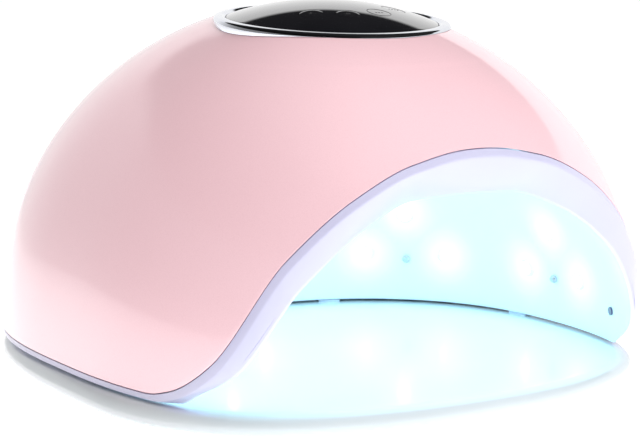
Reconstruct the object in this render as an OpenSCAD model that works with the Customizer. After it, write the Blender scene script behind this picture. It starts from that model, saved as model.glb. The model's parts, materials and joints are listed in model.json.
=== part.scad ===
// UV and LED nail curing lamp: a domed head that lifts off a flat tray.
// Front faces -Y, +Z is up, the origin is under the middle of the tray.

/* [Base tray] */
// Width of the tray, left to right
tray_w = 200; // [198:1:204]
// Depth of the tray, front to back
tray_d = 218; // [216:1:222]
// Height of the tray's top face above the table
tray_top = 7.9; // [7.5:0.1:8.1]
// How far the rolled top edge comes in
tray_roll = 5.8; // [4:0.2:7]

/* [Dome] */
// Half width of the pink dome
dome_a = 97.1; // [96.6:0.1:97.6]
// Depth of the dome's front half, most of it cut away by the hand opening
dome_front = 122; // [121:1:123]
// Depth of the dome's back half
dome_back = 115; // [114:1:115]
// Height of the dome above its widest level
dome_h = 112.2; // [111:0.2:114]
// Wall thickness of the dome
shell_wall = 1.8; // [1.6:0.1:2]

/* [Hand opening] */
// Height of the opening's pink edge above the side edges
arch_h = 76.8; // [74:0.2:78]
// Half angle of the opening in plan, at the pink edge
arch_half = 71.3; // [70:0.1:72]
// Width of the white lip that shows below the pink edge
lip = 2.2; // [1.8:0.1:2.6]

/* [Cavity] */
// Half width of the hand cavity
cav_a = 90; // [89:0.2:90.4]
// Depth of the cavity behind its centre
cav_back = 86; // [84:1:88]
// Depth of the cavity in front of its centre
cav_front = 99; // [98:1:101]
// Height of the cavity's ceiling above the liner's lower edge
cav_h = 79.6; // [78:0.2:81]
// Height of the cavity edge at the front, above the liner's lower edge
cav_arch_h = 63.7; // [62:0.1:65]
// Wall thickness of the liner
liner_wall = 1.5; // [1.3:0.1:1.6]

/* [Control panel] */
// Half width of the chrome bezel
bezel_a = 39.4; // [38.6:0.2:40]
// Depth of the oval bezel over its width
oval = 1.1; // [1.06:0.01:1.12]
// Height of the bezel's seat above the table
bezel_z = 121; // [120.6:0.1:121.4]
// How far the panel leans to the front, degrees
bezel_tilt = 3; // [2:0.5:4]
// Radius of a timer key
key_r = 4; // [3.6:0.1:4.4]
// Travel of a timer key
key_travel = 0.6; // [0.4:0.1:0.8]

/* [Lights] */
// Radius of one LED lens
led_r = 2.4; // [2.2:0.1:2.6]
// Spacing of the two lower LEDs of a module
led_gap = 31; // [28:1:33]
// Rise of the upper LED over the lower two
led_rise = 16; // [14:1:17]

/* [Hidden] */
$fn = 48;
eps = 0.02;
// Loops round the dome: segments over the front opening and over the rest
front_seg = 32;
back_seg = 48;
loops = front_seg + back_seg;
// Exponents of the plan outline, in front of and behind its centre
front_exp = 2.4;
back_exp = 3;
cav_exp = 2.33;
cav_rise_exp = 2.47;
// Dome centre, the level of its widest point and the lean of its top
dome_y = -8;
dome_z = 16.5;
dome_lean = -3.7;
// Liner: lower edge, cavity centre and half angles of its two front edges
liner_z = 8.7;
cav_y = -28;
lip_half = arch_half - 1.5;
cav_half = 70.6;
// Heights along the opening's edge, as shares of its rise, from the middle to the toe
share_at = [0, 0.2, 0.4, 0.6, 0.8, 0.92, 1];
shell_share = [1, 0.955, 0.832, 0.595, 0.16, 0.03, 0];
cav_share = [1, 0.986, 0.876, 0.629, 0.191, 0.071, 0];
bezel_y = -17.9;
// The tray is widest at tray_y, which is nearer its front edge
tray_y = -28;
seat_a = bezel_a - 2.6;
lens_a = bezel_a - 4.1;
lens_rise = 6.6;
lens_wall = 2.4;
pcb_z = 110.4;
pcb_t = 1.6;
key_ring = 21;
key_angles = [-141, -107, -73, -39];
flange_t = 1.2;
stem_r = 1.6;
switch_h = 3;
// LED modules: plan angle of each, and rise shares of the wall and ceiling rows
wall_angles = [0, 45, 90, 135, 180];
wall_rise = 0.33;
ceiling_angles = [-90, -18, 54, 126, 198];
ceiling_rise = 0.93;
board_gap = liner_wall + 0.45;
board_t = 0.9;
tip_out = 2.2;
ir_angle = -19;
ir_rise = 0.14;
rest_angles = [12, 66, 114, 168];
foot_r = 6;
foot_t = 1.6;
foot_at = [[-66, -72], [66, -72], [-66, 66], [66, 66]];
magnet_r = 4;
magnet_at = [[-66, 66], [66, 66]];
post_at = [[-78, 50], [78, 50], [-50, 86], [50, 86]];
board_at = [[-34, 70], [34, 70], [-34, 90], [34, 90]];
board_z = liner_z + 7;
jack_z = 22;
pin_r = 1.05;
// Flat cable from the control board down to the driver board, as Y and Z
ribbon_path = [[8, 109.4], [24, 108], [42, 102], [56, 92], [65, 78], [69.5, 60], [69.8, 22.4]];
jack_face = dome_y + dome_back + 0.3;

// ---- outlines ----
function spow(v, p) = sign(v) * pow(abs(v), p);
function outline(t, a, front, back, ef, eb) = sin(t) < 0
    ? [a * spow(cos(t), 2 / ef), front * spow(sin(t), 2 / ef)]
    : [a * spow(cos(t), 2 / eb), back * spow(sin(t), 2 / eb)];
// A point on the dome, moved in by d, at plan angle t and height z
function dome_pt(t, z, d = 0) = let (
    g = min(0.999, (z - dome_z) / (dome_h - d)),
    f = sqrt(1 - g * g),
    o = outline(t, dome_a - d, dome_front - d, dome_back - d, front_exp, back_exp)
) [o.x * f, dome_y + o.y * f + dome_lean * max(g, 0), z];
// Height of the dome, moved in by d, over a point in plan
function rad(x, y, d) = y < 0
    ? pow(pow(abs(x) / (dome_a - d), front_exp) + pow(-y / (dome_front - d), front_exp), 1 / front_exp)
    : pow(pow(abs(x) / (dome_a - d), back_exp) + pow(y / (dome_back - d), back_exp), 1 / back_exp);
function dome_top(x, y, d = 0) = dome_z + (dome_h - d) * sqrt(max(0, 1
    - pow(rad(x, y - dome_y - dome_lean * 0.9, d), 2)));
// A point on the cavity wall, moved out by d, at plan angle t and rise share g
function cav_pt(t, g, d = 0) = let (
    f = pow(1 - pow(max(0, min(g, 0.9999)), cav_rise_exp), 1 / cav_rise_exp),
    o = outline(t, cav_a + d, cav_front + d, cav_back + d, cav_exp, cav_exp)
) [o.x * f, cav_y + o.y * f, liner_z + (cav_h + d) * g];
// Share of the rise at s along the opening's edge, eased between the listed points
function ease(u) = u * u * (3 - 2 * u);
function slope(v, i) = (i == 0 || i == len(v) - 1) ? 0
    : let (a = (v[i] - v[i - 1]) / (share_at[i] - share_at[i - 1]),
        b = (v[i + 1] - v[i]) / (share_at[i + 1] - share_at[i]))
        (a * b <= 0 ? 0 : 2 * a * b / (a + b));
function share(v, s) = let (
    i = s >= 1 ? len(v) - 2 : max([for (k = [0:len(v) - 2]) if (share_at[k] <= s) k]),
    w = share_at[i + 1] - share_at[i],
    u = (s - share_at[i]) / w
) v[i] * (1 - ease(u)) + v[i + 1] * ease(u)
    + w * slope(v, i) * u * (1 - u) * (1 - u) - w * slope(v, i + 1) * u * u * (1 - u);
// Plan angle and edge position of loop i, for an edge whose toe is at half angle h
function is_front(i) = i <= front_seg;
function edge_s(i) = is_front(i) ? abs(2 * i / front_seg - 1) : 1;
function loop_t(i, h) = is_front(i)
    ? -90 + h * (2 * i / front_seg - 1)
    : -90 + h + (360 - 2 * h) * (i - front_seg) / back_seg;
function pink_z(i) = liner_z + lip + arch_h * share(shell_share, edge_s(i));
function lip_z(i) = liner_z + (arch_h + lip - 2.4) * share(shell_share, edge_s(i));
function cav_g(i) = cav_arch_h * share(cav_share, edge_s(i)) / cav_h;

// ---- closed solids from rows of points ----
function quad(a, b, c, d) = [[a, b, c], [a, c, d]];
// Rows are rings of equal length. The first and last ring close to a point or to each other.
module ring_solid(rows) {
    n = len(rows[0]);
    m = len(rows);
    polyhedron(
        points = [for (r = rows) for (p = r) p],
        faces = [for (k = [0:m - 1]) for (i = [0:n - 1])
            let (k2 = (k + 1) % m, j = (i + 1) % n)
            for (f = quad(k * n + i, k2 * n + i, k2 * n + j, k * n + j)) f]);
}
module capped_solid(low, rows, high) {
    n = len(rows[0]);
    m = len(rows);
    polyhedron(
        points = [low, for (r = rows) for (p = r) p, high],
        faces = [
            for (i = [0:n - 1]) [0, 1 + i, 1 + (i + 1) % n],
            for (k = [0:m - 2]) for (i = [0:n - 1])
                let (j = (i + 1) % n, a = 1 + k * n, b = a + n)
                for (f = quad(a + i, b + i, b + j, a + j)) f,
            for (i = [0:n - 1]) [1 + m * n, 1 + (m - 1) * n + (i + 1) % n, 1 + (m - 1) * n + i]
        ]);
}
module place(list) {
    for (p = list) translate([p.x, p.y, 0]) children();
}

// ---- base ----
tray_edge = [[2.5, 0.9], [0.6, 1.6], [0, 3], [0, 4.4], [0.6, 5.9], [2.2, 7.1], [tray_roll, tray_top]];
function tray_ring(d, z) = [for (i = [0:95])
    let (o = outline(i * 3.75, tray_w / 2 - d, tray_d / 2 + tray_y - d, tray_d / 2 - tray_y - d,
        front_exp, back_exp))
    [o.x, o.y + tray_y, z]];
module base_tray() {
    color("whitesmoke") difference() {
        capped_solid([0, 0, tray_edge[0][1]], [for (e = tray_edge) tray_ring(e[0], e[1])],
            [0, 0, tray_top]);
        place(foot_at) cylinder(r = foot_r + 0.1, h = foot_t);
        place(magnet_at) cylinder(r = magnet_r + 0.1, h = 6);
    }
}
module foot_pads() {
    color("dimgray") place(foot_at) cylinder(r = foot_r, h = foot_t);
}
module strike_discs() {
    color("silver") place(magnet_at) translate([0, 0, 4]) cylinder(r = magnet_r, h = 2);
}
module head_rests() {
    color("white") for (t = rest_angles) {
        p = cav_pt(t, 0, 2);
        translate([p.x, p.y, tray_top])
            rotate([0, 0, atan2(p.y - cav_y, p.x)]) translate([-1.6, -4, 0])
                cube([3.2, 8, liner_z - tray_top - eps]);
    }
}

// ---- head shells ----
shell_rows = 9;
function shell_pt(i, k, d) = let (
    t = loop_t(i, arch_half),
    z0 = pink_z(i),
    zt = dome_z + (dome_h - d) * 0.84,
    u = k / shell_rows,
    z = z0 + (zt - z0) * sin(90 * min(1, u * 1.28)),
    p = dome_pt(t, z, d),
    v = max(0, u * 1.28 - 1) / 0.28,
    x = p.x * (1 - v) + seat_a * cos(t) * v,
    y = p.y * (1 - v) + (bezel_y + seat_a * oval * sin(t)) * v
) v > 0 ? [x, y, dome_top(x, y, d)] : p;
module outer_shell() {
    color("pink") difference() {
        union() {
            ring_solid(concat(
                [for (k = [0:shell_rows]) [for (i = [0:loops - 1]) shell_pt(i, k, 0)]],
                [for (k = [shell_rows:-1:0]) [for (i = [0:loops - 1]) shell_pt(i, k, shell_wall)]]));
            for (p = post_at) {
                r = norm([p.x, p.y - dome_y]);
                s = (r + 3) / r;
                top = dome_top(p.x * s, dome_y + (p.y - dome_y) * s);
                translate([p.x, p.y, liner_z + 2.5]) cylinder(r = 3, h = top - liner_z - 3.3);
            }
        }
        place(post_at) cylinder(r = 1.2, h = liner_z + 12);
        translate([0, jack_face - 12, jack_z]) rotate([-90, 0, 0]) cylinder(r = 4.6, h = 20);
        // Shallow reliefs behind the two front boards
        for (t = [wall_angles[0], wall_angles[4]]) on_cavity(t, wall_rise)
            translate([0, 0, board_gap - 1]) linear_extrude(board_t + 1.3) polygon(board_rim(0.4));
    }
}
cav_rows = 7;
function cav_row(k, d) = [for (i = [0:loops - 1])
    let (g0 = cav_g(i), g = g0 + (0.99 - g0) * sin(90 * k / cav_rows))
    cav_pt(loop_t(i, cav_half), g, d)];
module liner_body() {
    rows = concat(
        [for (k = [cav_rows:-1:0]) cav_row(k, 0)],
        [[for (i = [0:loops - 1]) dome_pt(loop_t(i, lip_half), lip_z(i), 0.1)]],
        [[for (i = [0:loops - 1]) dome_pt(loop_t(i, arch_half), pink_z(i) - eps, 0.1)]],
        [[for (i = [0:loops - 1]) dome_pt(loop_t(i, arch_half), pink_z(i) - eps, shell_wall + 0.1)]],
        [[for (i = [0:loops - 1])
            cav_pt(loop_t(i, cav_half), cav_g(i) + 2 / cav_h, liner_wall)]],
        [for (k = [1:cav_rows]) cav_row(k, liner_wall)]);
    capped_solid([0, cav_y, liner_z + cav_h], rows, [0, cav_y, liner_z + cav_h + liner_wall]);
}
// Puts children on the cavity wall: local Z points out of the cavity, local Y up the wall
module on_cavity(t, g) {
    c = cav_pt(t, g);
    a = cav_pt(t + 1, g) - cav_pt(t - 1, g);
    b = cav_pt(t, g + 0.01) - cav_pt(t, g - 0.01);
    x = a / norm(a);
    y0 = b - x * (b * x);
    y = y0 / norm(y0);
    n = cross(x, y);
    multmatrix([[x.x, y.x, n.x, c.x], [x.y, y.y, n.y, c.y], [x.z, y.z, n.z, c.z], [0, 0, 0, 1]])
        children();
}
module in_modules(angles, rise) {
    for (t = angles) on_cavity(t, rise) children();
}
led_at = [[-led_gap / 2, -led_rise / 2, 0], [led_gap / 2, -led_rise / 2, 0], [0, led_rise / 2, 0]];
screw_at = [0, -led_rise / 2 - 2, 0];
module module_holes() {
    for (p = led_at) translate(p + [0, 0, -6]) cylinder(r = led_r + 0.15, h = 12);
    translate(screw_at + [0, 0, -6]) cylinder(r = 1.1, h = 12);
}
module ir_place(side) {
    on_cavity(side > 0 ? ir_angle : 180 - ir_angle, ir_rise) children();
}
module inner_liner() {
    color("white") difference() {
        liner_body();
        in_modules(wall_angles, wall_rise) module_holes();
        in_modules(ceiling_angles, ceiling_rise) module_holes();
        for (side = [-1, 1]) ir_place(side) translate([0, 0, -3]) cylinder(r = 1.6, h = 6);
        place(post_at) cylinder(r = 1.25, h = liner_z + 6);
        place(post_at) cylinder(r = 2.6, h = liner_z + 1.3);
        place(magnet_at) cylinder(r = magnet_r + 0.1, h = liner_z + 1);
    }
}

// ---- control panel ----
function panel_ring(a) = [for (i = [0:71])
    [a * cos(i * 5), bezel_y + a * oval * sin(i * 5)]];
function seat_z(y) = bezel_z + (y - bezel_y) * tan(bezel_tilt);
function on_seat(a, h) = [for (p = panel_ring(a)) [p.x, p.y, seat_z(p.y) + h]];
function on_dome(a, h) = [for (p = panel_ring(a)) [p.x, p.y, dome_top(p.x, p.y) + h]];
module bezel_ring() {
    color("lightgray") ring_solid([
        on_seat(lens_a + 0.1, -1.4), on_dome(seat_a + 0.1, 0.35), on_dome(bezel_a, 0.25),
        on_seat(bezel_a + 0.1, 0.5), on_seat(bezel_a - 0.8, 1.5), on_seat(lens_a + 1.4, 1.9),
        on_seat(lens_a + 0.1, 1.2)]);
}
function cap_h(f, h) = h * (1 - f * f);
module lens_body() {
    steps = [1, 0.86, 0.7, 0.5, 0.25];
    capped_solid([0, bezel_y, bezel_z + lens_rise + 1.2 - lens_wall],
        concat([for (k = [4:-1:0]) on_seat((lens_a - 0.2) * steps[k],
                1.2 - lens_wall + cap_h(steps[k], lens_rise))],
            [for (k = [0:4]) on_seat(lens_a * steps[k], 1.2 + cap_h(steps[k], lens_rise))]),
        [0, bezel_y, bezel_z + lens_rise + 1.2]);
}
function key_xy(k) = [key_ring * cos(key_angles[k]), bezel_y + key_ring * sin(key_angles[k])];
function lens_under(k) = let (p = key_xy(k))
    seat_z(p.y) + 1.2 - lens_wall + cap_h(key_ring / lens_a, lens_rise) - 1.4;
panel_post_at = [[-24, bezel_y + 12], [24, bezel_y + 12], [0, bezel_y - 30]];
module control_panel() {
    color([0.03, 0.03, 0.035]) difference() {
        union() {
            lens_body();
            for (p = panel_post_at)
                translate([p.x, p.y, pcb_z + pcb_t]) cylinder(r = 2.4, h = seat_z(p.y) + 1 - pcb_z);
        }
        place(panel_post_at) cylinder(r = 0.9, h = pcb_z + 7);
        for (k = [0:3]) translate(key_xy(k)) cylinder(r = key_r + 0.3, h = 200);
    }
}
module timer_key(k) {
    p = key_xy(k);
    under = lens_under(k);
    color([0.05, 0.05, 0.06]) union() {
        intersection() {
            translate([p.x, p.y, under - 3]) cylinder(r = key_r, h = 20);
            translate([0, 0, -0.05]) lens_body();
        }
        translate([p.x, p.y, under - 1]) cylinder(r = key_r, h = 2.4);
        translate([p.x, p.y, under - 1 - flange_t]) cylinder(r = key_r + 1, h = flange_t);
    }
}
module plunger(k) {
    p = key_xy(k);
    low = pcb_z + pcb_t + 1.4;
    color("black") translate([p.x, p.y, low])
        cylinder(r = stem_r, h = lens_under(k) - 1 - flange_t - low);
}
module switch_housings() {
    color("dimgray") for (k = [0:3]) {
        p = key_xy(k);
        translate([p.x, p.y, pcb_z + pcb_t]) difference() {
            translate([-3, -3, 0]) cube([6, 6, switch_h]);
            translate([0, 0, 0.6]) cylinder(r = stem_r + 0.1, h = switch_h);
        }
    }
}
module control_pcb() {
    color("darkgreen") difference() {
        translate([0, bezel_y, pcb_z]) cylinder(r = 33, h = pcb_t);
        place(panel_post_at) translate([0, 0, pcb_z - 1]) cylinder(r = 1.3, h = 4);
    }
}
module pan_screw(shank_r, head_r, length) {
    rotate_extrude() polygon([[0, -1.3], [head_r * 0.6, -1.3], [head_r, -0.5], [head_r, 0],
        [shank_r, 0], [shank_r, length], [0, length]]);
}
module panel_screws() {
    color("silver") place(panel_post_at) translate([0, 0, pcb_z]) pan_screw(0.85, 2, 6);
}
module timer_display() {
    color("black") translate([-13, bezel_y + 5, pcb_z + pcb_t]) cube([26, 14, 9]);
}
module buzzer() {
    color("gray") translate([0, bezel_y - 4, pcb_z - 4]) difference() {
        cylinder(r = 6, h = 4);
        translate([0, 0, -1]) cylinder(r = 1.2, h = 2.5);
    }
}

// ---- lights ----
function board_rim(m) = let (w = led_gap / 2 + 4 + m, low = -led_rise / 2) [
    [-w, low - 5 - m], [w, low - 5 - m], [w, low + 3 + m], [5 + m, 4.5 + m - low],
    [-5 - m, 4.5 + m - low], [-w, low + 3 + m]];
module board(t, rise) {
    color("seashell") on_cavity(t, rise) translate([0, 0, board_gap]) difference() {
        linear_extrude(board_t) polygon(board_rim(0));
        translate(screw_at + [0, 0, -1]) cylinder(r = 0.95, h = 4);
    }
}
module leds(angles, rise) {
    low = -tip_out + led_r * 0.5;
    color("lightcyan") in_modules(angles, rise) for (p = led_at) translate(p) rotate_extrude()
        polygon([[0, -tip_out], for (a = [30:30:90]) [led_r * sin(a), low - led_r * 0.5 * cos(a)],
            [led_r, board_gap], [0, board_gap]]);
}
module module_screws() {
    color("teal") {
        in_modules(wall_angles, wall_rise) translate(screw_at + [0, 0, -1.1]) pan_screw(0.9, 1.5, 4.2);
        in_modules(ceiling_angles, ceiling_rise) translate(screw_at + [0, 0, -1.4])
            pan_screw(0.9, 1.5, 4.4);
    }
}
module ir_part(side) {
    color("black") ir_place(side) translate([0, 0, -0.6]) cylinder(r = 1.5, h = liner_wall + 0.9);
}

// ---- fixings ----
module head_magnets() {
    color("silver") place(magnet_at) translate([0, 0, liner_z + 0.1]) cylinder(r = magnet_r, h = 0.85);
}
module case_screws() {
    color("silver") place(post_at) translate([0, 0, liner_z + 1.2]) rotate_extrude()
        polygon([[0, -1], [2.4, -1], [2.4, 0.1], [1.15, 0.1], [1.15, 9], [0, 9]]);
}

// ---- driver board ----
module driver_board() {
    color("darkgreen") difference() {
        translate([-40, 66, board_z]) cube([80, 28, 1.6]);
        place(board_at) translate([0, 0, board_z - 1]) cylinder(r = 1.2, h = 4);
    }
}
module board_standoffs() {
    color("gold") place(board_at) translate([0, 0, liner_z + 2.2]) difference() {
        cylinder(r = 2.2, h = board_z - liner_z - 2.2);
        translate([0, 0, 1]) cylinder(r = 1, h = 10);
    }
}
module board_screws() {
    color("silver") place(board_at) translate([0, 0, board_z + 1.6]) mirror([0, 0, 1])
        pan_screw(0.95, 1.9, 5);
}
module capacitors() {
    color("midnightblue") for (x = [-26, -15]) translate([x, 84, board_z + 1.6]) union() {
        cylinder(r = 4, h = 12);
        translate([0, 0, 12]) cylinder(r = 3.6, h = 0.5);
    }
}
module inductors() {
    color("saddlebrown") for (x = [18, 31]) translate([x, 80, board_z + 1.6]) rotate_extrude()
        polygon([[2.4, 0], [5.2, 0], [5.6, 1], [5.6, 5], [5.2, 6], [2.4, 6], [2, 5], [2, 1]]);
}
module heat_sink() {
    color("gray") translate([-12, 69, board_z + 1.6]) union() {
        cube([24, 8, 2]);
        for (k = [0:6]) translate([k * 3.8, 0, 2]) cube([1.2, 8, 9]);
    }
}
module board_connectors() {
    color("ivory") for (x = [-28, -20, 13]) translate([x, 67.6, board_z + 1.6]) difference() {
        cube([7, 5, 5]);
        translate([1, 1, 1.2]) cube([5, 3, 5]);
    }
}
module ribbon_cable() {
    color("lightgray") translate([-28, 0, 0]) rotate([90, 0, 90]) linear_extrude(7)
        polygon(concat(ribbon_path, [for (k = [len(ribbon_path) - 1:-1:0])
            ribbon_path[k] + [0.8, 0.3]]));
}
// Children are laid along the socket's axis, from its face inwards along -Z
module at_jack() {
    translate([0, jack_face, jack_z]) rotate([-90, 0, 0]) children();
}
module dc_jack() {
    color([0.1, 0.1, 0.1]) difference() {
        union() {
            translate([-5.5, jack_face - 14.5, board_z + 1.6]) cube([11, 10, 9.6]);
            at_jack() translate([0, 0, -5]) cylinder(r = 4.2, h = 5);
        }
        at_jack() translate([0, 0, -11]) cylinder(r = 2.85, h = 12);
        at_jack() translate([0, 0, -13]) cylinder(r = 0.8, h = 5);
    }
}
module dc_jack_pin() {
    color("silver") at_jack() union() {
        translate([0, 0, -13]) cylinder(r = 0.8, h = 3);
        translate([0, 0, -10.8]) cylinder(r = pin_r, h = 9.8);
    }
}

base_tray();
foot_pads();
strike_discs();
head_rests();
outer_shell();
inner_liner();
bezel_ring();
control_panel();
timer_display();
timer_key(0);  // timer_key_10
timer_key(1);  // timer_key_30
timer_key(2);  // timer_key_60
timer_key(3);  // timer_key_99
plunger(0);  // plunger_10
plunger(1);  // plunger_30
plunger(2);  // plunger_60
plunger(3);  // plunger_99
switch_housings();
control_pcb();
panel_screws();
buzzer();
board(wall_angles[0], wall_rise);  // wall_led_board_1
board(wall_angles[1], wall_rise);  // wall_led_board_2
board(wall_angles[2], wall_rise);  // wall_led_board_3
board(wall_angles[3], wall_rise);  // wall_led_board_4
board(wall_angles[4], wall_rise);  // wall_led_board_5
board(ceiling_angles[0], ceiling_rise);  // ceiling_led_board_1
board(ceiling_angles[1], ceiling_rise);  // ceiling_led_board_2
board(ceiling_angles[2], ceiling_rise);  // ceiling_led_board_3
board(ceiling_angles[3], ceiling_rise);  // ceiling_led_board_4
board(ceiling_angles[4], ceiling_rise);  // ceiling_led_board_5
leds(wall_angles, wall_rise);  // wall_leds
leds(ceiling_angles, ceiling_rise);  // ceiling_leds
module_screws();
ir_part(1);  // ir_emitter
ir_part(-1);  // ir_receiver
head_magnets();
case_screws();
driver_board();
board_standoffs();
board_screws();
capacitors();
inductors();
heat_sink();
board_connectors();
ribbon_cable();
dc_jack();
dc_jack_pin();
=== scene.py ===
import json
import math

import bmesh
import bpy
import numpy as np
from mathutils import Matrix, Vector

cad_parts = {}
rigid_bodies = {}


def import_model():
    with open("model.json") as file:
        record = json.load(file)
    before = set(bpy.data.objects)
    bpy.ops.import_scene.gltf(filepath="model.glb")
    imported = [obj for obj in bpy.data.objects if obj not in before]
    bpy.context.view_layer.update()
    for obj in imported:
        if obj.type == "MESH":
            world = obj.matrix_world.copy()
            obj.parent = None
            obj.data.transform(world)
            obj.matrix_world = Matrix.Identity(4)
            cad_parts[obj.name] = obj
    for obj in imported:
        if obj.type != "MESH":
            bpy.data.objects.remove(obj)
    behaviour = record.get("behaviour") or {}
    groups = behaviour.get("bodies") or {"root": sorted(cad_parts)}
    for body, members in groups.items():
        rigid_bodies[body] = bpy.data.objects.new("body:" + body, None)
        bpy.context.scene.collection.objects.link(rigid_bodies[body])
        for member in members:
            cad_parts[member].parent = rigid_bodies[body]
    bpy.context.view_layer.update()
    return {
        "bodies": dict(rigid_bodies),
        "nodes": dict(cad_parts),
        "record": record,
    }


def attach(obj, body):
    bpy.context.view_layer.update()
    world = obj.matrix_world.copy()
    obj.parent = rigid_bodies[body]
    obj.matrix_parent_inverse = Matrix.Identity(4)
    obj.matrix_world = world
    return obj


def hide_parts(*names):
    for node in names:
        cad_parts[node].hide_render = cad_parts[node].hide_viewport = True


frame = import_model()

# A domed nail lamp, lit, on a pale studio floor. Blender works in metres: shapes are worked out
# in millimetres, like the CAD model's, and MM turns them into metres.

MM = 0.001
NODES = frame["nodes"]

# ---- the lamp's driving dimensions, as the CAD model has them, in millimetres ----
TRAY_HALF_W, TRAY_FRONT, TRAY_BACK, TRAY_Y = 100.0, 81.0, 137.0, -28.0
TRAY_TOP, TRAY_ROLL = 7.9, 5.8
DOME_A, DOME_FRONT, DOME_BACK, DOME_H = 97.1, 122.0, 115.0, 112.2
DOME_Y, DOME_Z, DOME_LEAN, WALL = -8.0, 16.5, -3.7, 1.8
ARCH_H, ARCH_HALF, LIP = 76.8, 71.3, 2.2
CAV_A, CAV_FRONT, CAV_BACK, CAV_H = 90.0, 99.0, 86.0, 79.6
CAV_ARCH_H, CAV_HALF, CAV_Y, LINER_WALL, LINER_Z = 63.7, 70.6, -28.0, 1.5, 8.7
FRONT_EXP, BACK_EXP, CAV_EXP, RISE_EXP = 2.4, 3.0, 2.33, 2.47
BEZEL_A, OVAL, BEZEL_Z, BEZEL_TILT, BEZEL_Y = 39.4, 1.1, 121.0, 3.0, -17.9
SEAT_A, LENS_A, LENS_RISE, LENS_WALL = BEZEL_A - 2.6, BEZEL_A - 4.1, 6.6, 2.4
KEY_R, KEY_RING, KEY_ANGLES = 4.0, 21.0, (-141, -107, -73, -39)
KEY_NAMES = ("10", "30", "60", "99")
SHARE_AT = (0, 0.2, 0.4, 0.6, 0.8, 0.92, 1)
SHELL_SHARE = (1, 0.955, 0.832, 0.595, 0.16, 0.03, 0)
CAV_SHARE = (1, 0.986, 0.876, 0.629, 0.191, 0.071, 0)
LED_R, LED_GAP, LED_RISE, TIP_OUT = 2.4, 31.0, 16.0, 2.2
WALL_ANGLES, WALL_RISE = (0, 45, 90, 135, 180), 0.33
CEILING_ANGLES, CEILING_RISE = (-90, -18, 54, 126, 198), 0.93
LED_AT = ((-LED_GAP / 2, -LED_RISE / 2), (LED_GAP / 2, -LED_RISE / 2), (0, LED_RISE / 2))
POST_AT = ((-78, 50), (78, 50), (-50, 86), (50, 86))
MAGNET_AT = ((-66, 66), (66, 66))
JACK_Z, JACK_HOLE_R = 22.0, 4.6
FRONT_SEG, BACK_SEG = 128, 160
LOOPS = FRONT_SEG + BACK_SEG


# ---- camera, light and floor ----
def make_camera():
    azimuth, elevation, distance = 0.559, 0.173, 808.7 * MM
    target = Vector((0, CAV_Y * MM, 45 * MM))
    away = Vector((-math.sin(azimuth) * math.cos(elevation),
                   -math.cos(azimuth) * math.cos(elevation), math.sin(elevation)))
    data = bpy.data.cameras.new("camera")
    data.sensor_width = 36
    data.lens = 132.5
    data.shift_x, data.shift_y = -0.0431, 0.0405
    data.clip_start, data.clip_end = 0.05, 50
    camera = bpy.data.objects.new("camera", data)
    camera.location = target + away * distance
    camera.rotation_euler = (-away).to_track_quat("-Z", "Y").to_euler()
    bpy.context.scene.collection.objects.link(camera)
    bpy.context.scene.camera = camera


def area_light(name, place, aim, size, power, colour=(1, 1, 1), parent=None):
    data = bpy.data.lights.new(name, "AREA")
    data.shape = "RECTANGLE"
    data.size, data.size_y = size
    data.energy = power
    data.color = colour
    light = bpy.data.objects.new(name, data)
    light.location = place
    light.rotation_euler = (Vector(aim) - Vector(place)).to_track_quat("-Z", "Y").to_euler()
    light.visible_glossy = False
    bpy.context.scene.collection.objects.link(light)
    if parent:
        light.parent = frame["bodies"][parent]
    return light


def step_along(nt, direction, axis, low, high, start, end):
    """Goes from start to end as the direction turns towards the axis."""
    along = nt.nodes.new("ShaderNodeVectorMath")
    along.operation = "DOT_PRODUCT"
    along.inputs[1].default_value = Vector(axis).normalized()
    nt.links.new(direction, along.inputs[0])
    step = nt.nodes.new("ShaderNodeMapRange")
    step.interpolation_type = "SMOOTHSTEP"
    step.inputs["From Min"].default_value = low
    step.inputs["From Max"].default_value = high
    step.inputs["To Min"].default_value = start
    step.inputs["To Max"].default_value = end
    nt.links.new(along.outputs["Value"], step.inputs["Value"])
    return step.outputs["Result"]


def make_studio():
    """White surroundings low down, grey on the lamp's left and dark overhead, and soft lights."""
    scene = bpy.context.scene
    scene.view_settings.view_transform = "Standard"
    world = bpy.data.worlds.new("studio")
    scene.world = world
    world.use_nodes = True
    nt = world.node_tree
    background = nt.nodes["Background"]
    background.inputs["Color"].default_value = (1, 1, 1, 1)
    direction = nt.nodes.new("ShaderNodeTexCoord").outputs["Generated"]
    side = step_along(nt, direction, (-0.9, 0.05, 0.35), 0.05, 0.75, 1.0, 0.25)
    height = step_along(nt, direction, (0, 0, 1), 0.42, 0.47, 1.0, 0.02)
    strength = nt.nodes.new("ShaderNodeMath")
    strength.operation = "MULTIPLY"
    nt.links.new(side, strength.inputs[0])
    nt.links.new(height, strength.inputs[1])
    nt.links.new(strength.outputs[0], background.inputs["Strength"])
    centre = (0, 0, 0.05)
    area_light("overhead", (0.25, -0.6, 1.2), centre, (1.5, 1.5), 13.0)
    area_light("top", (0, 0.15, 1.2), centre, (1.0, 1.0), 7.0)
    area_light("fill_left", (-1.2, -0.6, 0.5), centre, (0.8, 0.8), 2.2)
    area_light("fill_right", (1.2, -0.3, 0.4), centre, (0.6, 1.0), 2.0)


def make_floor():
    bm = bmesh.new()
    bmesh.ops.create_grid(bm, x_segments=8, y_segments=8, size=4)
    floor = new_object("studio_floor", bm)
    material = new_material("floor_white", (0.95, 0.95, 0.95), 0.6,
                            Emission_Color=(1.0, 1.0, 1.0), Emission_Strength=0.72)
    vary(material, (0.93, 0.93, 0.935), (0.97, 0.97, 0.97), 3.0)
    floor.data.materials.append(material)


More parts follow.
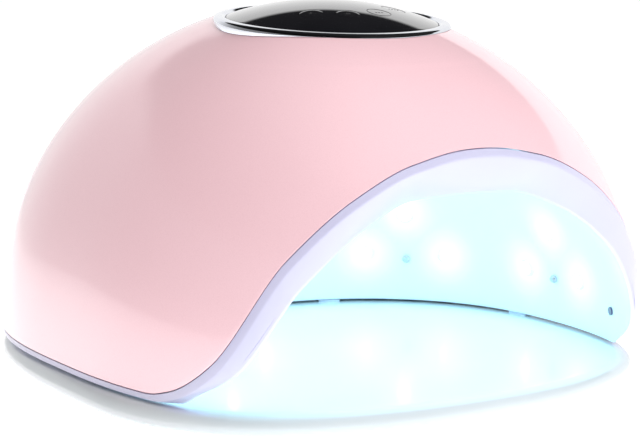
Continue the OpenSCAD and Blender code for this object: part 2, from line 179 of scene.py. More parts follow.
# ---- materials ----
def new_material(name, colour, roughness, **sockets):
    material = bpy.data.materials.new(name)
    material.use_nodes = True
    shader = material.node_tree.nodes["Principled BSDF"]
    shader.inputs["Base Color"].default_value = (*colour, 1)
    shader.inputs["Roughness"].default_value = roughness
    for key, value in sockets.items():
        socket = shader.inputs[key.replace("_", " ")]
        socket.default_value = (*value, 1) if isinstance(value, tuple) else value
    return material


def object_coordinates(nt):
    return nt.nodes.new("ShaderNodeTexCoord").outputs["Object"]


def noise(nt, scale, detail=3.0):
    texture = nt.nodes.new("ShaderNodeTexNoise")
    texture.inputs["Scale"].default_value = scale
    texture.inputs["Detail"].default_value = detail
    nt.links.new(object_coordinates(nt), texture.inputs["Vector"])
    return texture.outputs["Fac"]


def ramp(nt, factor, stops):
    node = nt.nodes.new("ShaderNodeValToRGB")
    elements = node.color_ramp.elements
    while len(elements) < len(stops):
        elements.new(0.5)
    for element, (position, colour) in zip(elements, stops):
        element.position = position
        element.color = (*colour, 1)
    nt.links.new(factor, node.inputs["Fac"])
    return node.outputs["Color"]


def vary(material, dark, light, scale, detail=3.0):
    """The base colour drifts between dark and light with noise of that scale."""
    nt = material.node_tree
    colour = ramp(nt, noise(nt, scale, detail), [(0.3, dark), (0.7, light)])
    nt.links.new(colour, nt.nodes["Principled BSDF"].inputs["Base Color"])
    return colour


def tint_from_painted_light(material):
    """The base colour is multiplied by a colour attribute of the mesh that holds painted light and
    shade: cyan where the LEDs' light is painted, a darker violet painted shade on the reflector's
    rim.
    """
    nt = material.node_tree
    base = nt.nodes["Principled BSDF"].inputs["Base Color"]
    attribute = nt.nodes.new("ShaderNodeAttribute")
    attribute.attribute_name = "painted_light_tint"
    mix = nt.nodes.new("ShaderNodeMix")
    mix.data_type = "RGBA"
    mix.blend_type = "MULTIPLY"
    mix.inputs["Factor"].default_value = 1.0
    nt.links.new(base.links[0].from_socket, mix.inputs["A"])
    nt.links.new(attribute.outputs["Color"], mix.inputs["B"])
    nt.links.new(mix.outputs["Result"], base)


def roughness_range(material, low, high, scale):
    nt = material.node_tree
    node = nt.nodes.new("ShaderNodeMapRange")
    node.inputs["To Min"].default_value = low
    node.inputs["To Max"].default_value = high
    nt.links.new(noise(nt, scale), node.inputs["Value"])
    nt.links.new(node.outputs["Result"], nt.nodes["Principled BSDF"].inputs["Roughness"])


def bump(material, scale, distance_mm, strength=1.0, detail=2.0, coat=False):
    nt = material.node_tree
    node = nt.nodes.new("ShaderNodeBump")
    node.inputs["Strength"].default_value = strength
    node.inputs["Distance"].default_value = distance_mm * MM
    nt.links.new(noise(nt, scale, detail), node.inputs["Height"])
    shader = nt.nodes["Principled BSDF"]
    nt.links.new(node.outputs["Normal"], shader.inputs["Coat Normal" if coat else "Normal"])


def glow_from_painted_light(material, strength):
    """Emission takes its colour from a colour attribute of the mesh that holds painted light: the
    LEDs' light and a violet painted shadow, shining from surfaces that are no lamp.
    """
    nt = material.node_tree
    attribute = nt.nodes.new("ShaderNodeAttribute")
    attribute.attribute_name = "painted_glow"
    shader = nt.nodes["Principled BSDF"]
    nt.links.new(attribute.outputs["Color"], shader.inputs["Emission Color"])
    shader.inputs["Emission Strength"].default_value = strength


def pink_pearl():
    """Pearl paint under clear lacquer: fine flakes that catch light under a smooth coat."""
    material = new_material("pink_pearl", (0.9, 0.56, 0.61), 0.32, Metallic=0.06,
                            Coat_Weight=1.0, Coat_Roughness=0.05, Coat_IOR=1.5)
    nt = material.node_tree
    shader = nt.nodes["Principled BSDF"]
    flakes = nt.nodes.new("ShaderNodeTexVoronoi")
    flakes.inputs["Scale"].default_value = 2600
    nt.links.new(object_coordinates(nt), flakes.inputs["Vector"])
    flake_colour = ramp(nt, flakes.outputs["Distance"],
                        [(0.0, (0.99, 0.66, 0.71)), (0.9, (0.95, 0.62, 0.67))])
    drift = ramp(nt, noise(nt, 9), [(0.3, (0.985, 0.985, 0.985)), (0.7, (1, 1, 1))])
    mix = nt.nodes.new("ShaderNodeMix")
    mix.data_type = "RGBA"
    mix.blend_type = "MULTIPLY"
    mix.inputs["Factor"].default_value = 1.0
    nt.links.new(flake_colour, mix.inputs["A"])
    nt.links.new(drift, mix.inputs["B"])
    nt.links.new(mix.outputs["Result"], shader.inputs["Base Color"])
    roughness_range(material, 0.27, 0.38, 60)
    bump(material, 900, 0.012, 0.35)
    return material


def white_gloss():
    material = new_material("white_gloss", (0.6, 0.66, 0.7), 0.16, Coat_Weight=0.35,
                            Coat_Roughness=0.05)
    vary(material, (0.66, 0.70, 0.72), (0.70, 0.74, 0.76), 14)
    roughness_range(material, 0.13, 0.2, 40)
    bump(material, 500, 0.01, 0.3)
    # Painted light and shade from the mesh: cyan-tinted base colour and cyan emission where the
    # LEDs' light is painted, violet emission for painted shadow.
    tint_from_painted_light(material)
    glow_from_painted_light(material, 1.0)
    return material


def white_reflector():
    material = new_material("white_reflector", (0.92, 0.92, 0.97), 0.3, Coat_Weight=0.2,
                            Coat_Roughness=0.12)
    vary(material, (0.9, 0.9, 0.955), (0.93, 0.93, 0.98), 12)
    roughness_range(material, 0.26, 0.36, 50)
    bump(material, 700, 0.012, 0.4)
    # Painted light and shade from the mesh: cyan-tinted base colour and cyan emission where the
    # LEDs' light is painted, violet emission for painted shadow, a darker violet painted shade on
    # the rim.
    tint_from_painted_light(material)
    glow_from_painted_light(material, 1.0)
    return material


def bezel_chrome():
    material = new_material("bezel_chrome", (0.78, 0.8, 0.86), 0.06, Metallic=1.0)
    vary(material, (0.74, 0.76, 0.83), (0.82, 0.84, 0.88), 120)
    roughness_range(material, 0.04, 0.11, 300)
    return material


def black_gloss(name, roughness=0.05):
    material = new_material(name, (0.006, 0.006, 0.008), roughness, Coat_Weight=1.0,
                            Coat_Roughness=0.02)
    vary(material, (0.004, 0.004, 0.006), (0.009, 0.009, 0.012), 30)
    roughness_range(material, roughness * 0.7, roughness * 1.6, 90)
    return material


def plain(name, colour, roughness, spread=0.12, scale=80, grain_mm=0.02, **sockets):
    """A moulded or machined finish: colour drift, uneven roughness and a fine grain."""
    material = new_material(name, colour, roughness, **sockets)
    dark = tuple(c * (1 - spread) for c in colour)
    light = tuple(min(1, c * (1 + spread)) for c in colour)
    vary(material, dark, light, scale)
    roughness_range(material, roughness * 0.8, min(1, roughness * 1.25), scale * 2)
    bump(material, scale * 8, grain_mm, 0.5)
    return material


def led_glass():
    material = new_material("led_lens", (0.9, 1, 1), 0.08, Coat_Weight=1.0,
                            Emission_Color=(0.86, 1, 1), Emission_Strength=2.4)
    vary(material, (0.85, 0.98, 1), (0.95, 1, 1), 200)
    return material


def slot_materials():
    return {
        "foot_rubber": plain("foot_rubber", (0.05, 0.05, 0.055), 0.8, grain_mm=0.05),
        "steel": plain("steel", (0.62, 0.63, 0.65), 0.3, Metallic=1.0),
        "clear_pad": plain("clear_pad", (0.72, 0.78, 0.92), 0.4),
        "display_black": plain("display_black", (0.02, 0.02, 0.022), 0.4),
        "switch_black": plain("switch_black", (0.03, 0.03, 0.033), 0.5),
        "pcb_green": plain("pcb_green", (0.01, 0.13, 0.05), 0.35, spread=0.3, scale=200),
        "buzzer_black": plain("buzzer_black", (0.025, 0.025, 0.025), 0.5),
        "led_board_alu": plain("led_board_alu", (0.82, 0.84, 0.82), 0.45),
        "led_lens": led_glass(),
        "ir_window": plain("ir_window", (0.05, 0.04, 0.12), 0.12, Coat_Weight=1.0),
        "magnet_nickel": plain("magnet_nickel", (0.6, 0.6, 0.62), 0.2, Metallic=1.0),
        "brass_post": plain("brass_post", (0.7, 0.5, 0.2), 0.25, Metallic=1.0),
        "capacitor_sleeve": plain("capacitor_sleeve", (0.02, 0.03, 0.12), 0.35),
        "coil_copper": plain("coil_copper", (0.5, 0.18, 0.06), 0.35, spread=0.35, scale=500),
        "heat_sink_alu": plain("heat_sink_alu", (0.5, 0.51, 0.53), 0.4, Metallic=1.0),
        "connector_ivory": plain("connector_ivory", (0.8, 0.76, 0.64), 0.5),
        "ribbon_grey": plain("ribbon_grey", (0.5, 0.51, 0.53), 0.55),
        "jack_black": plain("jack_black", (0.02, 0.02, 0.02), 0.45),
        "pin_nickel": plain("pin_nickel", (0.7, 0.7, 0.68), 0.15, Metallic=1.0),
        "pink_pearl": pink_pearl(),
        "white_gloss": white_gloss(),
        "white_reflector": white_reflector(),
        "bezel_chrome": bezel_chrome(),
        "black_panel": black_gloss("black_panel"),
        "key_black": black_gloss("key_black", 0.07),
    }


# ---- outlines shared with the CAD model: arrays over plan angles in degrees, in millimetres ----
def signed_power(value, power):
    return np.sign(value) * np.abs(value) ** power


def outline(t, a, front, back, front_exp, back_exp):
    c, s = np.cos(np.radians(t)), np.sin(np.radians(t))
    c, s = np.where(np.abs(c) < 1e-9, 0, c), np.where(np.abs(s) < 1e-9, 0, s)
    p = np.where(s < 0, 2 / front_exp, 2 / back_exp)
    return a * signed_power(c, p), np.where(s < 0, front, back) * signed_power(s, p)


def dome_point(t, z, d=0.0):
    g = np.minimum(0.999, (z - DOME_Z) / (DOME_H - d))
    f = np.sqrt(1 - g * g)
    x, y = outline(t, DOME_A - d, DOME_FRONT - d, DOME_BACK - d, FRONT_EXP, BACK_EXP)
    return np.stack([x * f, DOME_Y + y * f + DOME_LEAN * np.maximum(g, 0), z + 0 * x], -1)


def dome_top(x, y, d=0.0):
    v = y - DOME_Y - DOME_LEAN * 0.9
    front = v < 0
    p = np.where(front, FRONT_EXP, BACK_EXP)
    depth = np.where(front, DOME_FRONT - d, DOME_BACK - d)
    rad = (np.abs(x / (DOME_A - d)) ** p + np.abs(v / depth) ** p) ** (1 / p)
    return DOME_Z + (DOME_H - d) * np.sqrt(np.maximum(0, 1 - rad ** 2))


def cavity_point(t, g, d=0.0):
    g = np.clip(g, 0, 0.9999)
    f = (1 - g ** RISE_EXP) ** (1 / RISE_EXP)
    x, y = outline(t, CAV_A + d, CAV_FRONT + d, CAV_BACK + d, CAV_EXP, CAV_EXP)
    return np.stack([x * f, CAV_Y + y * f, LINER_Z + (CAV_H + d) * g + 0 * x], -1)


def share(values, s):
    """Smooth curve through the shares of the rise along the opening's edge."""
    at, v = np.array(SHARE_AT, float), np.array(values, float)
    step = np.diff(v) / np.diff(at)
    slope = np.zeros(len(v))
    both = step[:-1] * step[1:]
    slope[1:-1] = np.where(both > 0, 2 * both / np.where(both > 0, step[:-1] + step[1:], 1), 0)
    i = np.clip(np.searchsorted(at, s, side="right") - 1, 0, len(at) - 2)
    w = at[i + 1] - at[i]
    u = (s - at[i]) / w
    e = u * u * (3 - 2 * u)
    return (v[i] * (1 - e) + v[i + 1] * e + w * slope[i] * u * (1 - u) ** 2
            - w * slope[i + 1] * u * u * (1 - u))


LOOP = np.arange(LOOPS)
EDGE_S = np.where(LOOP <= FRONT_SEG, np.abs(2 * LOOP / FRONT_SEG - 1), 1.0)
FRONTNESS = 1 - EDGE_S ** 6


def loop_angle(half):
    front = -90 + half * (2 * LOOP / FRONT_SEG - 1)
    back = -90 + half + (360 - 2 * half) * (LOOP - FRONT_SEG) / BACK_SEG
    return np.where(LOOP <= FRONT_SEG, front, back)


PINK_EDGE_Z = LINER_Z + LIP + ARCH_H * share(SHELL_SHARE, EDGE_S)
LIP_EDGE_Z = LINER_Z + (ARCH_H + LIP - 2.4) * share(SHELL_SHARE, EDGE_S)
CAVITY_EDGE_G = CAV_ARCH_H * share(CAV_SHARE, EDGE_S) / CAV_H


# ---- mesh helpers ----
def new_object(name, bm):
    bmesh.ops.recalc_face_normals(bm, faces=bm.faces)
    mesh = bpy.data.meshes.new(name)
    bm.to_mesh(mesh)
    bm.free()
    for polygon in mesh.polygons:
        polygon.use_smooth = True
    piece = bpy.data.objects.new(name, mesh)
    bpy.context.scene.collection.objects.link(piece)
    return piece


def add_rings(bm, rows, low=None, high=None, joined=False):
    """Rows of points, in millimetres, become a closed skin. A row is one ring of points."""
    rings = [[bm.verts.new(Vector(p) * MM) for p in row] for row in rows]
    n = len(rings[0])
    pairs = list(zip(rings[:-1], rings[1:])) + ([(rings[-1], rings[0])] if joined else [])
    for a, b in pairs:
        for i in range(n):
            j = (i + 1) % n
            bm.faces.new((a[i], b[i], b[j], a[j]))
    for tip, ring in ((low, rings[0]), (high, rings[-1])):
        if tip is not None:
            v = bm.verts.new(Vector(tip) * MM)
            for i in range(n):
                bm.faces.new((v, ring[i], ring[(i + 1) % n]))


def rounded(rows, radii, steps=5):
    """Replaces each row with a radius by rows that round that corner of the profile."""
    out = []
    for k, row in enumerate(rows):
        r = radii.get(k, 0)
        if not r:
            out.append(row)
            continue
        before, after = rows[k - 1] - row, rows[(k + 1) % len(rows)] - row
        a_len = np.linalg.norm(before, axis=1, keepdims=True)
        b_len = np.linalg.norm(after, axis=1, keepdims=True)
        a = row + before * np.minimum(r / a_len, 0.45)
        b = row + after * np.minimum(r / b_len, 0.45)
        for u in np.linspace(0, 1, steps):
            out.append(a * (1 - u) ** 2 + row * 2 * u * (1 - u) + b * u * u)
    return out


def add_lathe(bm, profile, frame_matrix, segments=32):
    """Turns a profile of (radius, height) about the frame's Z axis. Ends at radius 0 are closed."""
    turn = np.linspace(0, 2 * math.pi, segments, endpoint=False)
    rows, tips = [], []
    for radius, height in profile:
        if radius <= 0:
            tips.append(frame_matrix @ Vector((0, 0, height)))
            continue
        rows.append([frame_matrix @ Vector((radius * math.cos(a), radius * math.sin(a), height))
                     for a in turn])
    low = tips[0] if profile[0][0] <= 0 else None
    high = tips[-1] if profile[-1][0] <= 0 else None
    add_rings(bm, rows, low, high, joined=low is None)


def cut(piece, profiles):
    """Cuts round holes in a piece: each entry is (frame matrix, radius, low, high), millimetres."""
    bm = bmesh.new()
    for place, radius, low, high in profiles:
        add_lathe(bm, [(0, low), (radius, low), (radius, high), (0, high)], place, 40)
    cutter = new_object("cutter", bm)
    modifier = piece.modifiers.new("holes", "BOOLEAN")
    modifier.operation = "DIFFERENCE"
    modifier.solver = "EXACT"
    modifier.object = cutter
    depsgraph = bpy.context.evaluated_depsgraph_get()
    mesh = bpy.data.meshes.new_from_object(piece.evaluated_get(depsgraph))
    piece.modifiers.clear()
    piece.data = mesh
    bpy.data.objects.remove(cutter)
    crease(piece, 35)


def crease(piece, degrees):
    """Smooth shading, with edges sharper than this left crisp."""
    piece.data.shade_smooth()
    piece.data.set_sharp_from_angle(angle=math.radians(degrees))


def shift(x, y, z):
    return Matrix.Translation(Vector((x, y, z)))


def on_cavity(t, g):
    """Frame on the cavity wall in millimetres: Z points out of the cavity, Y up the wall."""
    def at(a, b):
        return cavity_point(np.array([float(a)]), np.array([float(b)]))[0]
    x = at(t + 1, g) - at(t - 1, g)
    x /= np.linalg.norm(x)
    up = at(t, g + 0.01) - at(t, g - 0.01)
    y = up - x * (up @ x)
    y /= np.linalg.norm(y)
    z = np.cross(x, y)
    c = at(t, g)
    return Matrix([[x[i], y[i], z[i], c[i]] for i in range(3)] + [[0, 0, 0, 1]])


def finish(piece, body, slot_name, *replaced):
    piece.data.materials.clear()
    piece.data.materials.append(MATERIALS[slot_name])
    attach(piece, body)
    if replaced:
        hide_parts(*replaced)
    return piece


def set_colours(piece, name, colours):
    """Writes one colour for each point of the piece, as the named attribute."""
    attribute = piece.data.attributes.new(name, "FLOAT_COLOR", "POINT")
    attribute.data.foreach_set("color", np.hstack([colours, np.ones((len(colours), 1))])
                               .astype(np.float32).ravel())


def points_mm(piece):
    return np.array([v.co for v in piece.data.vertices], float) / MM


# ---- the light inside the cavity: the LED tips, and colours that paint light and shade onto the reflector, tray and collars ----
LED_FRAMES = ([on_cavity(t, WALL_RISE) for t in WALL_ANGLES]
              + [on_cavity(t, CEILING_RISE) for t in CEILING_ANGLES])
LED_TIPS = np.array([f @ Vector((x, y, -TIP_OUT)) for f in LED_FRAMES for x, y in LED_AT])
# Painted light: the LEDs' cyan light, put on as emission and as a cyan-tinted base colour on the
# reflector, tray and collars.
PAINTED_CYAN_LIGHT = np.array([0.5, 0.92, 1.0])
PAINTED_LIT_TINT = np.array([0.93, 0.99, 1.0])
# Painted shade: the reflector's rim outside the cavity gets a darker, violet base colour than the
# lit inside.
PAINTED_RIM_SHADE = np.array([0.62, 0.61, 0.74])
# Strengths of the painted light on the wall, at the LED spots and on the tray, and of the painted
# violet shadow at the toes.
PAINTED_WALL_LIGHT, PAINTED_SPOT_LIGHT, PAINTED_TRAY_LIGHT, PAINTED_TOE_SHADOW = 0.45, 0.8, 0.42, 0.3
SPOT_R = 8.0
# White of the painted spots of light round each LED.
WHITE = np.array([1.0, 1.0, 1.0])
# Painted shadow: violet emission stands for the coloured shade under the dome's front toes and
# under the reflector's flange.
PAINTED_VIOLET_SHADOW = np.array([0.20, 0.17, 0.85])


def smooth_step(value, low, high):
    u = np.clip((value - low) / (high - low), 0, 1)
    return u * u * (3 - 2 * u)


def spots(points, radius):
    """How close each point is to the nearest LED, from 0 to 1."""
    gap = np.min(np.linalg.norm(points[:, None] - LED_TIPS[None], axis=2), axis=1)
    return np.exp(-(gap / radius) ** 2)


def cavity_radius(x, y):
    """1 on the cavity's outline in plan, less inside it."""
    v = y - CAV_Y
    depth = np.where(v < 0, CAV_FRONT, CAV_BACK)
    return (np.abs(x / CAV_A) ** CAV_EXP + np.abs(v / depth) ** CAV_EXP) ** (1 / CAV_EXP)


# ---- the pieces ----
def make_shell():
    """Pink dome: outer and inner skins, a rounded edge round the opening and the bezel's hole."""
    def skin(d, count):
        t, rows = loop_angle(ARCH_HALF), []
        top = DOME_Z + (DOME_H - d) * 0.84
        for u in np.linspace(0, 1, count):
            z = PINK_EDGE_Z + (top - PINK_EDGE_Z) * np.sin(math.pi / 2 * min(1, u * 1.28))
            p = dome_point(t, z, d)
            v = max(0, u * 1.28 - 1) / 0.28
            if v > 0:
                x = p[:, 0] * (1 - v) + SEAT_A * np.cos(np.radians(t)) * v
                y = p[:, 1] * (1 - v) + (BEZEL_Y + SEAT_A * OVAL * np.sin(np.radians(t))) * v
                p = np.stack([x, y, dome_top(x, y, d)], -1)
            rows.append(p)
        return rows
    outer, inner = skin(0.0, 64), skin(WALL, 24)
    rows = outer + inner[::-1]
    rows = rounded(rows, {0: 0.35, len(rows) - 1: 0.35})
    bm = bmesh.new()
    add_rings(bm, rows, joined=True)
    shell = new_object("pink_shell", bm)
    cut(shell, [(Matrix.Translation((0, DOME_Y + DOME_BACK - 12, JACK_Z))
                 @ Matrix.Rotation(-math.pi / 2, 4, "X"), JACK_HOLE_R, 0, 20)])
    finish(shell, "lamp_head", "pink_pearl", "outer_shell")


def liner_rows():
    t_cav, t_lip, t_arch = (loop_angle(h) for h in (CAV_HALF, ARCH_HALF - 1.5, ARCH_HALF))
    inside = []
    for u in np.linspace(1, 0, 56):
        g = CAVITY_EDGE_G + (0.995 - CAVITY_EDGE_G) * np.sin(math.pi / 2 * u)
        inside.append(cavity_point(t_cav, g))
    edge = inside[-1]
    lip = dome_point(t_lip, LIP_EDGE_Z, 0.1)
    across = lip - edge
    along = np.roll(edge, -1, 0) - np.roll(edge, 1, 0)
    normal = np.cross(along, across)
    normal /= np.linalg.norm(normal, axis=1, keepdims=True)
    normal *= np.where((normal[:, 2] > 0)[:, None], -1, 1)
    face = [edge + across * u + normal * (2.2 * u * (1 - u) * FRONTNESS)[:, None]
            for u in np.linspace(0, 1, 12)[1:-1]]
    seam_z = PINK_EDGE_Z - 0.28
    seam = dome_point(t_arch, seam_z, 0.1)
    seam_in = dome_point(t_arch, seam_z, WALL + 0.1)
    back_edge = cavity_point(t_cav, CAVITY_EDGE_G + 2 / CAV_H, LINER_WALL)
    outside = []
    for u in np.linspace(0, 1, 20)[1:]:
        g = CAVITY_EDGE_G + (0.995 - CAVITY_EDGE_G) * np.sin(math.pi / 2 * u)
        outside.append(cavity_point(t_cav, np.maximum(g, CAVITY_EDGE_G + 2.2 / CAV_H), LINER_WALL))
    rows = inside + face + [lip, seam, seam_in, back_edge] + outside
    corner = len(inside) - 1
    lip_row = corner + len(face) + 1
    return rounded(rows, {corner: 0.9, lip_row: 0.8, lip_row + 1: 0.3})


def make_liner():
    """White reflector with its wide rim: the cavity, the rim's face, the lip and the floor."""
    bm = bmesh.new()
    low = (0, CAV_Y, LINER_Z + CAV_H)
    add_rings(bm, liner_rows(), low, (0, CAV_Y, LINER_Z + CAV_H + LINER_WALL))
    liner = new_object("reflector_liner", bm)
    holes = [(shift(x, y, 0), 2.6, LINER_Z - 1, LINER_Z + 1.3) for x, y in POST_AT]
    holes += [(shift(x, y, 0), 4.1, LINER_Z - 1, LINER_Z + 1.0) for x, y in MAGNET_AT]
    cut(liner, holes)
    p = points_mm(liner)
    radius = cavity_radius(p[:, 0], p[:, 1])
    g = np.clip((p[:, 2] - LINER_Z) / CAV_H, 0, 1)
    wall = (1 - g ** RISE_EXP) ** (1 / RISE_EXP)
    depth_in = (wall - radius) * CAV_A
    at_front = smooth_step(-p[:, 1], 60, 96)
    inside = smooth_step(depth_in, -1.0, 0.6)
    near = spots(p, SPOT_R)[:, None]
    # Painted light: inside the cavity the reflector shines cyan, with white painted spots of light
    # round each LED.
    lit = PAINTED_CYAN_LIGHT * PAINTED_WALL_LIGHT * (1 - near) + WHITE * PAINTED_SPOT_LIGHT * near
    colours = lit * inside[:, None]
    # Painted shadow: the flange's underside shines violet towards the front toes.
    under = ((p[:, 2] < LINER_Z + 0.4) & (inside < 0.5))[:, None]
    at_toe = smooth_step(-p[:, 1], 58, 84)[:, None]
    colours = np.where(under, PAINTED_VIOLET_SHADOW * PAINTED_TOE_SHADOW * at_toe, colours)
    # Painted light: a faint violet emission on the rim's front face.
    rim = (1 - inside)[:, None] * at_front[:, None] * np.array([0.02, 0.018, 0.05])
    set_colours(liner, "painted_glow", colours + rim)
    # Painted light and shade in the base colour: cyan-tinted inside the cavity, a darker violet
    # painted shade on the rim.
    set_colours(liner, "painted_light_tint", PAINTED_RIM_SHADE + (PAINTED_LIT_TINT - PAINTED_RIM_SHADE) * inside[:, None])
    finish(liner, "lamp_head", "white_reflector", "inner_liner")


def tray_ring(d, z, n=288):
    t = np.linspace(0, 360, n, endpoint=False)
    x, y = outline(t, TRAY_HALF_W - d, TRAY_FRONT - d, TRAY_BACK - d, FRONT_EXP, BACK_EXP)
    return np.stack([x, y + TRAY_Y, z + 0 * x], -1)


def make_tray():
    """Flat white tray with a rolled top edge, on a slightly set-in underside."""
    low_z, side_z = 0.9, 3.7
    profile = [(60, low_z), (20, low_z), (3.0, low_z), (2.0, low_z + 0.05), (1.0, 1.35), (0.3, 2.2)]
    profile += [(TRAY_ROLL * (1 - math.cos(a)), side_z + (TRAY_TOP - side_z) * math.sin(a))
                for a in np.radians(np.linspace(0, 90, 12))]
    profile += [(d, TRAY_TOP) for d in (6.4, 8, 11, 15, 20, 26, 33, 41, 50, 60, 70, 78)]
    bm = bmesh.new()
    add_rings(bm, [tray_ring(d, z) for d, z in profile], (0, TRAY_Y, low_z), (0, TRAY_Y, TRAY_TOP))
    tray = new_object("tray", bm)
    p = points_mm(tray)
    top = smooth_step(p[:, 2], TRAY_TOP - 1.5, TRAY_TOP - 0.2)
    radius = cavity_radius(p[:, 0], p[:, 1])
    covered = (radius > 1.0) & (radius < 1.05) & (np.abs(p[:, 0]) > 45)
    mouth = smooth_step(-p[:, 1], 60, 100)
    fade = 1 - smooth_step(radius, 0.8, 1.06)
    # Painted light: the tray's top shines cyan inside the cavity's footprint, fading out past its
    # edge and a little weaker towards the mouth.
    lit = PAINTED_CYAN_LIGHT * PAINTED_TRAY_LIGHT * (1 - 0.2 * mouth)[:, None]
    colours = lit * (fade * top)[:, None]
    # Painted shadow: in the band just outside the cavity, under the reflector's edge, violet
    # emission towards the front toes.
    toe = PAINTED_VIOLET_SHADOW * PAINTED_TOE_SHADOW * (top * smooth_step(-p[:, 1], 58, 84))[:, None]
    colours = np.where(covered[:, None], toe, colours)
    set_colours(tray, "painted_glow", colours)
    # Painted light in the base colour: cyan-tinted where the cyan light is painted.
    set_colours(tray, "painted_light_tint", 1 - (1 - PAINTED_LIT_TINT) * (fade * top)[:, None])
    finish(tray, "base", "white_gloss", "base_tray")


def panel_ring(a, height=None, dome_height=None, n=192):
    t = np.linspace(0, 2 * math.pi, n, endpoint=False)
    x, y = a * np.cos(t), BEZEL_Y + a * OVAL * np.sin(t)
    if dome_height is None:
        z = seat_z(y) + height
    else:
        z = dome_top(x, y) + dome_height
    return np.stack([x, y, z], -1)


def seat_z(y):
    return BEZEL_Z + (y - BEZEL_Y) * math.tan(math.radians(BEZEL_TILT))


def make_bezel():
    """Chrome ring with a rounded crown and a narrow inner slope down to the panel."""
    rows = [panel_ring(LENS_A + 0.1, -1.4), panel_ring(SEAT_A + 0.1, dome_height=0.3),
            panel_ring(BEZEL_A, dome_height=0.12), panel_ring(BEZEL_A + 0.1, 0.5),
            panel_ring(BEZEL_A - 0.5, 1.5), panel_ring(LENS_A + 1.2, 1.9),
            panel_ring(LENS_A + 0.1, 1.15)]
    rows = rounded(rows, {2: 0.2, 3: 0.7, 4: 1.0, 5: 0.6, 6: 0.15}, 6)
    bm = bmesh.new()
    add_rings(bm, rows, joined=True)
    bezel = new_object("chrome_bezel", bm)
    crease(bezel, 50)
    finish(bezel, "lamp_head", "bezel_chrome", "bezel_ring")


def cap_rows(f_list, drop, a):
    return [panel_ring(a * f, 1.2 - drop + LENS_RISE * (1 - f * f)) for f in f_list]


def key_place(angle):
    a = math.radians(angle)
    return KEY_RING * math.cos(a), BEZEL_Y + KEY_RING * math.sin(a)


def make_panel():
    """Domed black panel with a rounded rim and four round openings for the keys."""
    steps = np.linspace(0.06, 1, 26)
    rows = cap_rows(steps, LENS_WALL, LENS_A - 0.2) + cap_rows(steps[::-1], 0, LENS_A)
    rows = rounded(rows, {len(steps) - 1: 0.3, len(steps): 0.4})
    bm = bmesh.new()
    apex = (0, BEZEL_Y, BEZEL_Z + LENS_RISE + 1.2)
    add_rings(bm, rows, (0, BEZEL_Y, apex[2] - LENS_WALL), apex)
    panel = new_object("black_panel", bm)
    holes = [(shift(*key_place(a), 0), KEY_R + 0.15, 100, 140) for a in KEY_ANGLES]
    cut(panel, holes)
    finish(panel, "lamp_head", "black_panel", "control_panel")


def make_key(name, angle, dots):
    """A round key cap whose top follows the panel, with raised dots that tell the keys apart."""
    cx, cy = key_place(angle)
    bm = bmesh.new()
    turn = np.linspace(0, 2 * math.pi, 48, endpoint=False)

    def ring(radius, drop=None, z=None):
        x, y = cx + radius * np.cos(turn), cy + radius * np.sin(turn)
        f2 = (x / LENS_A) ** 2 + ((y - BEZEL_Y) / (LENS_A * OVAL)) ** 2
        top = seat_z(y) + 1.2 + LENS_RISE * (1 - f2) - (drop or 0)
        return np.stack([x, y, top if z is None else z + 0 * x], -1)
    low = seat_z(cy) + 0.6
    rows = [ring(3.6, z=low), ring(KEY_R, z=low + 0.2)]
    rows += [ring(radius, drop) for radius, drop in (
        (KEY_R, 0.2), (KEY_R - 0.06, 0.09), (KEY_R - 0.2, 0.06), (3.2, 0.065), (2.4, 0.075),
        (1.4, 0.08), (0.6, 0.08))]
    add_rings(bm, rows, (cx, cy, low), tuple(ring(0.0, 0.08)[0]))
    key = new_object("key_cap_" + name, bm)
    crease(key, 40)
    finish(key, "key_" + name, "key_black", "timer_key_" + name)
    bm = bmesh.new()
    for k in range(dots):
        x = cx + (k - (dots - 1) / 2) * 1.15
        f2 = (x / LENS_A) ** 2 + ((cy - BEZEL_Y) / (LENS_A * OVAL)) ** 2
        z = seat_z(cy) + 1.2 + LENS_RISE * (1 - f2) - 0.12
        add_lathe(bm, [(0, -0.1), (0.36, -0.1), (0.36, 0.05), (0.2, 0.12), (0, 0.14)],
                  shift(x, cy, z), 20)
    marks = new_object("key_dots_" + name, bm)
    finish(marks, "key_" + name, "key_black")


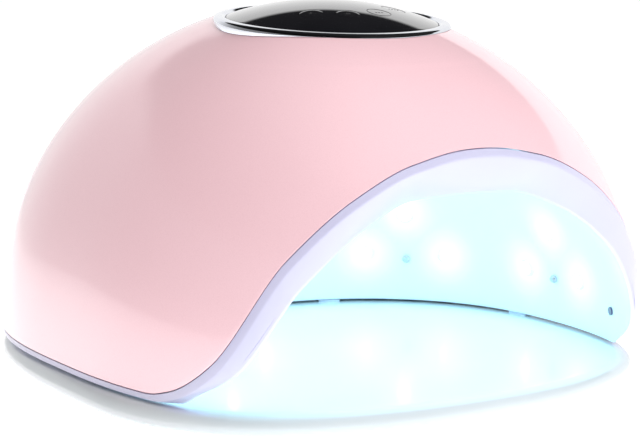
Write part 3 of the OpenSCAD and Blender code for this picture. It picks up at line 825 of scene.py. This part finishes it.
def make_leds(name, angles, rise, replaced):
    """Domed LED lenses, each in a low moulded collar that rises from the reflector."""
    edge_r = LED_R * 0.96
    bm, collars = bmesh.new(), bmesh.new()
    for t in angles:
        place = on_cavity(t, rise)
        for x, y in LED_AT:
            here = place @ shift(x, y, 0)
            tip = [(0, -TIP_OUT)] + [(edge_r * math.sin(a),
                                      -TIP_OUT + LED_R * 0.55 * (1 - math.cos(a)))
                                     for a in np.radians(np.arange(12, 91, 13))]
            add_lathe(bm, tip + [(edge_r, 1.9), (0, 1.9)], here, 32)
            sink = 0.012 * (x * x + y * y) * 0.4
            add_lathe(collars, [(LED_R + 0.02, 0.6 - sink), (LED_R + 0.02, -0.5 - sink),
                                (LED_R + 0.25, -0.72 - sink), (LED_R + 0.6, -0.6 - sink),
                                (LED_R + 1.1, -0.1 - sink), (LED_R + 1.3, 0.6 - sink)], here, 40)
    finish(new_object(name, bm), "lamp_head", "led_lens", replaced)
    ring = new_object(name + "_collars", collars)
    count = len(ring.data.vertices)
    # Painted light: the collars shine cyan and get the cyan-tinted base colour, standing in for the
    # LEDs' light on them.
    set_colours(ring, "painted_glow", np.tile(PAINTED_CYAN_LIGHT * 0.35 + 0.1, (count, 1)))
    set_colours(ring, "painted_light_tint", np.tile(PAINTED_LIT_TINT, (count, 1)))
    finish(ring, "lamp_head", "white_reflector")


def dress_cad_nodes():
    """Every CAD node that stays gets the material of its own slot."""
    slots = {s["node"]: s["material_slot"] for s in frame["record"]["subparts"]}
    for name, node in NODES.items():
        node.data.materials.clear()
        node.data.materials.append(MATERIALS[slots[name]])
        crease(node, 30)


MATERIALS = slot_materials()
make_camera()
make_studio()
make_floor()
dress_cad_nodes()
make_tray()
make_shell()
make_liner()
make_bezel()
make_panel()
for index, (key_name, key_angle) in enumerate(zip(KEY_NAMES, KEY_ANGLES)):
    make_key(key_name, key_angle, index + 1)
make_leds("wall_led_lenses", WALL_ANGLES, WALL_RISE, "wall_leds")
make_leds("ceiling_led_lenses", CEILING_ANGLES, CEILING_RISE, "ceiling_leds")
area_light("cavity_glow", (0, -0.03, 0.078), (0, -0.045, 0), (0.11, 0.1), 0.05,
           (0.30, 0.92, 1.0), parent="lamp_head")
